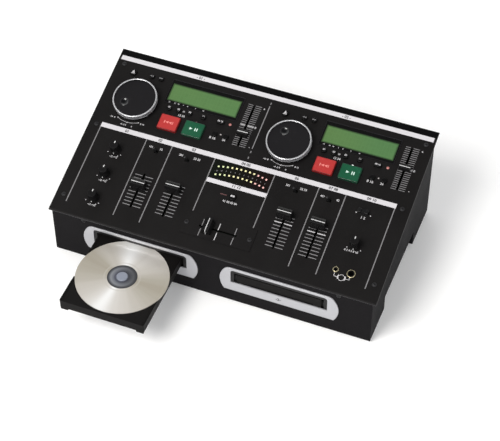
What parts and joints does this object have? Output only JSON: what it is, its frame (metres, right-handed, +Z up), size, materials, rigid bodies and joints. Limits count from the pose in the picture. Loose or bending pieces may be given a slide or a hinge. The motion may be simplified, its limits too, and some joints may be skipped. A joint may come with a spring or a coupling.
{
  "type": "dual disc player console",
  "caption": "Tabletop console with two front-loading disc decks, jog wheels, displays and a fader mixer on one sloping panel.",
  "frame": {"origin": "centre of the footprint of the console with its left tray out, on the surface it stands on", "axes": "+X to the user's right, +Y to the rear, +Z up"},
  "size_m": [0.446, 0.373, 0.1497],
  "materials": {
    "case_paint": "black powder coat, fine texture",
    "panel_paint": "black satin paint with white print",
    "silver_trim": "satin silver",
    "loader_black": "moulded black",
    "tray_black": "moulded black, fine grain",
    "hub_grey": "blue-grey moulded plastic",
    "disc_silver": "clear plastic over a reflective layer",
    "display_green": "green backlit display behind a clear lens",
    "meter_window": "dark smoked window",
    "circuit_board": "green board with black parts",
    "socket_brass": "gold-plated rings and sleeves",
    "supply_black": "black moulding, inner board and transformer",
    "foot_rubber": "black rubber",
    "black_screw": "blackened steel",
    "button_black": "moulded black",
    "cue_red": "lit red, satin",
    "play_green": "lit green, satin",
    "jog_black": "soft black top with a silver rim",
    "fader_black": "moulded black with a white line",
    "knob_black": "ribbed black with a white pointer",
    "switch_black": "moulded black"
  },
  "bodies": {
    "console": {"base_chassis": "case_paint", "top_panel": "panel_paint", "slot_bezels": "silver_trim", "loader_frames": "loader_black", "display_modules": "display_green", "level_meter": "meter_window", "control_boards": "circuit_board", "audio_sockets": "socket_brass", "mains_supply": "supply_black", "rubber_feet": "foot_rubber", "case_screws": "black_screw"},
    "tray_left": {"tray_left": "tray_black"},
    "tray_right": {"tray_right": "tray_black"},
    "turntable_left": {"turntable_left": "hub_grey", "disc": "disc_silver"},
    "turntable_right": {"turntable_right": "hub_grey"},
    "search_back_button_left": {"search_back_button_left": "button_black"},
    "search_forward_button_left": {"search_forward_button_left": "button_black"},
    "time_button_left": {"time_button_left": "button_black"},
    "single_button_left": {"single_button_left": "button_black"},
    "continue_button_left": {"continue_button_left": "button_black"},
    "program_button_left": {"program_button_left": "button_black"},
    "pitch_button_left": {"pitch_button_left": "button_black"},
    "bend_button_left": {"bend_button_left": "button_black"},
    "eject_button_left": {"eject_button_left": "button_black"},
    "range_button_left": {"range_button_left": "button_black"},
    "cue_button_left": {"cue_button_left": "cue_red"},
    "play_button_left": {"play_button_left": "play_green"},
    "jog_wheel_left": {"jog_wheel_left": "jog_black"},
    "pitch_fader_left": {"pitch_fader_left": "fader_black"},
    "search_back_button_right": {"search_back_button_right": "button_black"},
    "search_forward_button_right": {"search_forward_button_right": "button_black"},
    "time_button_right": {"time_button_right": "button_black"},
    "single_button_right": {"single_button_right": "button_black"},
    "continue_button_right": {"continue_button_right": "button_black"},
    "program_button_right": {"program_button_right": "button_black"},
    "pitch_button_right": {"pitch_button_right": "button_black"},
    "bend_button_right": {"bend_button_right": "button_black"},
    "eject_button_right": {"eject_button_right": "button_black"},
    "range_button_right": {"range_button_right": "button_black"},
    "cue_button_right": {"cue_button_right": "cue_red"},
    "play_button_right": {"play_button_right": "play_green"},
    "jog_wheel_right": {"jog_wheel_right": "jog_black"},
    "pitch_fader_right": {"pitch_fader_right": "fader_black"},
    "channel_fader_1": {"channel_fader_1": "fader_black"},
    "channel_fader_2": {"channel_fader_2": "fader_black"},
    "channel_fader_3": {"channel_fader_3": "fader_black"},
    "channel_fader_4": {"channel_fader_4": "fader_black"},
    "crossfader": {"crossfader": "fader_black"},
    "treble_knob": {"treble_knob": "knob_black"},
    "bass_knob": {"bass_knob": "knob_black"},
    "microphone_knob": {"microphone_knob": "knob_black"},
    "monitor_knob": {"monitor_knob": "knob_black"},
    "channel_switch_1": {"channel_switch_1": "switch_black"},
    "channel_switch_2": {"channel_switch_2": "switch_black"},
    "channel_switch_3": {"channel_switch_3": "switch_black"},
    "channel_switch_4": {"channel_switch_4": "switch_black"},
    "monitor_switch": {"monitor_switch": "switch_black"},
    "relay_button": {"relay_button": "button_black"},
    "power_rocker": {"power_rocker": "button_black"}
  },
  "joints": [
    {"name": "tray_left_slide", "type": "slide", "parent": "console", "child": "tray_left", "axis": [0, -1, 0], "range_m": [-0.119, 0]},
    {"name": "tray_right_slide", "type": "slide", "parent": "console", "child": "tray_right", "axis": [0, -1, 0], "range_m": [0, 0.119]},
    {"name": "turntable_left_spin", "type": "hinge", "parent": "tray_left", "child": "turntable_left", "pos_m": [-0.0952, -0.1225, 0.0539], "axis": [0, 0, 1], "continuous": true},
    {"name": "turntable_right_spin", "type": "hinge", "parent": "tray_right", "child": "turntable_right", "pos_m": [0.0952, -0.0035, 0.0539], "axis": [0, 0, 1], "continuous": true},
    {"name": "channel_fader_1_slide", "type": "slide", "parent": "console", "child": "channel_fader_1", "axis": [0, 0.9595, 0.2818], "range_m": [-0.0283, 0.0167]},
    {"name": "channel_fader_2_slide", "type": "slide", "parent": "console", "child": "channel_fader_2", "axis": [0, 0.9595, 0.2818], "range_m": [-0.0373, 0.0077]},
    {"name": "channel_fader_3_slide", "type": "slide", "parent": "console", "child": "channel_fader_3", "axis": [0, 0.9595, 0.2818], "range_m": [-0.045, 0]},
    {"name": "channel_fader_4_slide", "type": "slide", "parent": "console", "child": "channel_fader_4", "axis": [0, 0.9595, 0.2818], "range_m": [-0.045, 0]},
    {"name": "crossfader_slide", "type": "slide", "parent": "console", "child": "crossfader", "axis": [1, 0, 0], "range_m": [-0.0095, 0.0355]},
    {"name": "pitch_fader_left_slide", "type": "slide", "parent": "console", "child": "pitch_fader_left", "axis": [0, 0.9595, 0.2818], "range_m": [-0.0153, 0.0407]},
    {"name": "pitch_fader_right_slide", "type": "slide", "parent": "console", "child": "pitch_fader_right", "axis": [0, 0.9595, 0.2818], "range_m": [-0.0288, 0.0272]},
    {"name": "jog_wheel_left_spin", "type": "hinge", "parent": "console", "child": "jog_wheel_left", "pos_m": [-0.1735, 0.10599, 0.12917], "axis": [0, -0.2818, 0.9595], "continuous": true},
    {"name": "jog_wheel_right_spin", "type": "hinge", "parent": "console", "child": "jog_wheel_right", "pos_m": [0.0435, 0.10599, 0.12917], "axis": [0, -0.2818, 0.9595], "continuous": true},
    {"name": "treble_knob_turn", "type": "hinge", "parent": "console", "child": "treble_knob", "pos_m": [-0.1718, 0.03345, 0.10787], "axis": [0, -0.2818, 0.9595], "range_deg": [-150, 150]},
    {"name": "bass_knob_turn", "type": "hinge", "parent": "console", "child": "bass_knob", "pos_m": [-0.1718, -0.00224, 0.09738], "axis": [0, -0.2818, 0.9595], "range_deg": [-150, 150]},
    {"name": "microphone_knob_turn", "type": "hinge", "parent": "console", "child": "microphone_knob", "pos_m": [-0.1718, -0.03803, 0.08687], "axis": [0, -0.2818, 0.9595], "range_deg": [-150, 150]},
    {"name": "monitor_knob_turn", "type": "hinge", "parent": "console", "child": "monitor_knob", "pos_m": [0.1718, -0.00186, 0.0975], "axis": [0, -0.2818, 0.9595], "range_deg": [-150, 150]},
    {"name": "channel_switch_1_tip", "type": "hinge", "parent": "console", "child": "channel_switch_1", "pos_m": [-0.1198, 0.04746, 0.10844], "axis": [0, 0.9595, 0.2818], "range_deg": [0, 24]},
    {"name": "channel_switch_2_tip", "type": "hinge", "parent": "console", "child": "channel_switch_2", "pos_m": [-0.0758, 0.04746, 0.10844], "axis": [0, 0.9595, 0.2818], "range_deg": [0, 24]},
    {"name": "channel_switch_3_tip", "type": "hinge", "parent": "console", "child": "channel_switch_3", "pos_m": [0.0747, 0.04708, 0.10832], "axis": [0, 0.9595, 0.2818], "range_deg": [0, 24]},
    {"name": "channel_switch_4_tip", "type": "hinge", "parent": "console", "child": "channel_switch_4", "pos_m": [0.1198, 0.04708, 0.10832], "axis": [0, 0.9595, 0.2818], "range_deg": [0, 24]},
    {"name": "monitor_switch_slide", "type": "slide", "parent": "console", "child": "monitor_switch", "axis": [1, 0, 0], "range_m": [0, 0.005]},
    {"name": "power_rocker_tip", "type": "hinge", "parent": "console", "child": "power_rocker", "pos_m": [0.11, 0.17203, 0.062], "axis": [1, 0, 0], "range_deg": [-16, 0]},
    {"name": "cue_button_left_press", "type": "slide", "parent": "console", "child": "cue_button_left", "axis": [0, 0.2818, -0.9595], "range_m": [0, 0.0008], "stiffness_N_per_m": 400},
    {"name": "cue_button_right_press", "type": "slide", "parent": "console", "child": "cue_button_right", "axis": [0, 0.2818, -0.9595], "range_m": [0, 0.0008], "stiffness_N_per_m": 400},
    {"name": "play_button_left_press", "type": "slide", "parent": "console", "child": "play_button_left", "axis": [0, 0.2818, -0.9595], "range_m": [0, 0.0008], "stiffness_N_per_m": 400},
    {"name": "play_button_right_press", "type": "slide", "parent": "console", "child": "play_button_right", "axis": [0, 0.2818, -0.9595], "range_m": [0, 0.0008], "stiffness_N_per_m": 400},
    {"name": "eject_button_left_press", "type": "slide", "parent": "console", "child": "eject_button_left", "axis": [0, 0.2818, -0.9595], "range_m": [0, 0.0008], "stiffness_N_per_m": 250},
    {"name": "eject_button_right_press", "type": "slide", "parent": "console", "child": "eject_button_right", "axis": [0, 0.2818, -0.9595], "range_m": [0, 0.0008], "stiffness_N_per_m": 250},
    {"name": "relay_button_press", "type": "slide", "parent": "console", "child": "relay_button", "axis": [0, 0.2818, -0.9595], "range_m": [0, 0.0008], "stiffness_N_per_m": 250},
    {"name": "search_back_button_left_press", "type": "slide", "parent": "console", "child": "search_back_button_left", "axis": [0, 0.2818, -0.9595], "range_m": [0, 0.0008], "stiffness_N_per_m": 250},
    {"name": "search_forward_button_left_press", "type": "slide", "parent": "console", "child": "search_forward_button_left", "axis": [0, 0.2818, -0.9595], "range_m": [0, 0.0008], "stiffness_N_per_m": 250},
    {"name": "time_button_left_press", "type": "slide", "parent": "console", "child": "time_button_left", "axis": [0, 0.2818, -0.9595], "range_m": [0, 0.0008], "stiffness_N_per_m": 250},
    {"name": "single_button_left_press", "type": "slide", "parent": "console", "child": "single_button_left", "axis": [0, 0.2818, -0.9595], "range_m": [0, 0.0008], "stiffness_N_per_m": 250},
    {"name": "continue_button_left_press", "type": "slide", "parent": "console", "child": "continue_button_left", "axis": [0, 0.2818, -0.9595], "range_m": [0, 0.0008], "stiffness_N_per_m": 250},
    {"name": "program_button_left_press", "type": "slide", "parent": "console", "child": "program_button_left", "axis": [0, 0.2818, -0.9595], "range_m": [0, 0.0008], "stiffness_N_per_m": 250},
    {"name": "pitch_button_left_press", "type": "slide", "parent": "console", "child": "pitch_button_left", "axis": [0, 0.2818, -0.9595], "range_m": [0, 0.0008], "stiffness_N_per_m": 250},
    {"name": "bend_button_left_press", "type": "slide", "parent": "console", "child": "bend_button_left", "axis": [0, 0.2818, -0.9595], "range_m": [0, 0.0008], "stiffness_N_per_m": 250},
    {"name": "range_button_left_press", "type": "slide", "parent": "console", "child": "range_button_left", "axis": [0, 0.2818, -0.9595], "range_m": [0, 0.0008], "stiffness_N_per_m": 250},
    {"name": "search_back_button_right_press", "type": "slide", "parent": "console", "child": "search_back_button_right", "axis": [0, 0.2818, -0.9595], "range_m": [0, 0.0008], "stiffness_N_per_m": 250},
    {"name": "search_forward_button_right_press", "type": "slide", "parent": "console", "child": "search_forward_button_right", "axis": [0, 0.2818, -0.9595], "range_m": [0, 0.0008], "stiffness_N_per_m": 250},
    {"name": "time_button_right_press", "type": "slide", "parent": "console", "child": "time_button_right", "axis": [0, 0.2818, -0.9595], "range_m": [0, 0.0008], "stiffness_N_per_m": 250},
    {"name": "single_button_right_press", "type": "slide", "parent": "console", "child": "single_button_right", "axis": [0, 0.2818, -0.9595], "range_m": [0, 0.0008], "stiffness_N_per_m": 250},
    {"name": "continue_button_right_press", "type": "slide", "parent": "console", "child": "continue_button_right", "axis": [0, 0.2818, -0.9595], "range_m": [0, 0.0008], "stiffness_N_per_m": 250},
    {"name": "program_button_right_press", "type": "slide", "parent": "console", "child": "program_button_right", "axis": [0, 0.2818, -0.9595], "range_m": [0, 0.0008], "stiffness_N_per_m": 250},
    {"name": "pitch_button_right_press", "type": "slide", "parent": "console", "child": "pitch_button_right", "axis": [0, 0.2818, -0.9595], "range_m": [0, 0.0008], "stiffness_N_per_m": 250},
    {"name": "bend_button_right_press", "type": "slide", "parent": "console", "child": "bend_button_right", "axis": [0, 0.2818, -0.9595], "range_m": [0, 0.0008], "stiffness_N_per_m": 250},
    {"name": "range_button_right_press", "type": "slide", "parent": "console", "child": "range_button_right", "axis": [0, 0.2818, -0.9595], "range_m": [0, 0.0008], "stiffness_N_per_m": 250}
  ]
}
